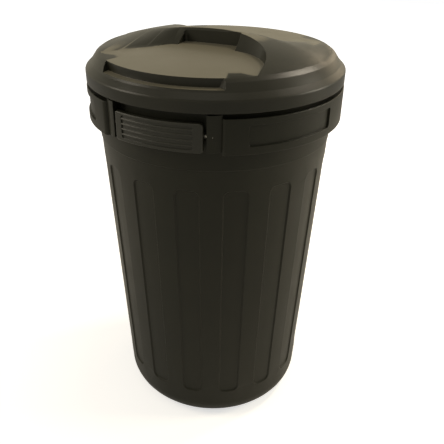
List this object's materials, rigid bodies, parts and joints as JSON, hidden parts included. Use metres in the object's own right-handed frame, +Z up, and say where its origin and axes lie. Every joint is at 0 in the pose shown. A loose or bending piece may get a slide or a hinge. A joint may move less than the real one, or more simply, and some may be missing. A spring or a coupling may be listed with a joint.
{
  "type": "round dustbin",
  "caption": "Round fluted outdoor dustbin with a lift-off lid that has a lifting fin between two sunk floors, and a tilting carry handle on each side.",
  "frame": {"origin": "centre of the ring that the bin stands on", "axes": "+Z up along the axis of the bin, -Y towards the front handle, +X along the hinge lines"},
  "size_m": [0.473, 0.476, 0.78],
  "materials": {
    "black_polypropylene": "moulded satin black polypropylene",
    "pin_steel": "plain drawn steel"
  },
  "bodies": {
    "tub_body": {"tub": "black_polypropylene", "left_band": "black_polypropylene", "right_band": "black_polypropylene", "front_handle_pin_left": "pin_steel", "front_handle_pin_right": "pin_steel", "rear_handle_pin_left": "pin_steel", "rear_handle_pin_right": "pin_steel"},
    "lid_body": {"lid": "black_polypropylene"},
    "front_handle_body": {"front_handle": "black_polypropylene"},
    "rear_handle_body": {"rear_handle": "black_polypropylene"}
  },
  "joints": [
    {"name": "lid_lift", "type": "slide", "parent": "tub_body", "child": "lid_body", "axis": [0, 0, 1], "range_m": [0, 0.25]},
    {"name": "front_handle_tilt", "type": "hinge", "parent": "tub_body", "child": "front_handle_body", "pos_m": [0, -0.2135, 0.662], "axis": [-1, 0, 0], "range_deg": [0, 25]},
    {"name": "rear_handle_tilt", "type": "hinge", "parent": "tub_body", "child": "rear_handle_body", "pos_m": [0, 0.2135, 0.662], "axis": [1, 0, 0], "range_deg": [0, 25]}
  ]
}
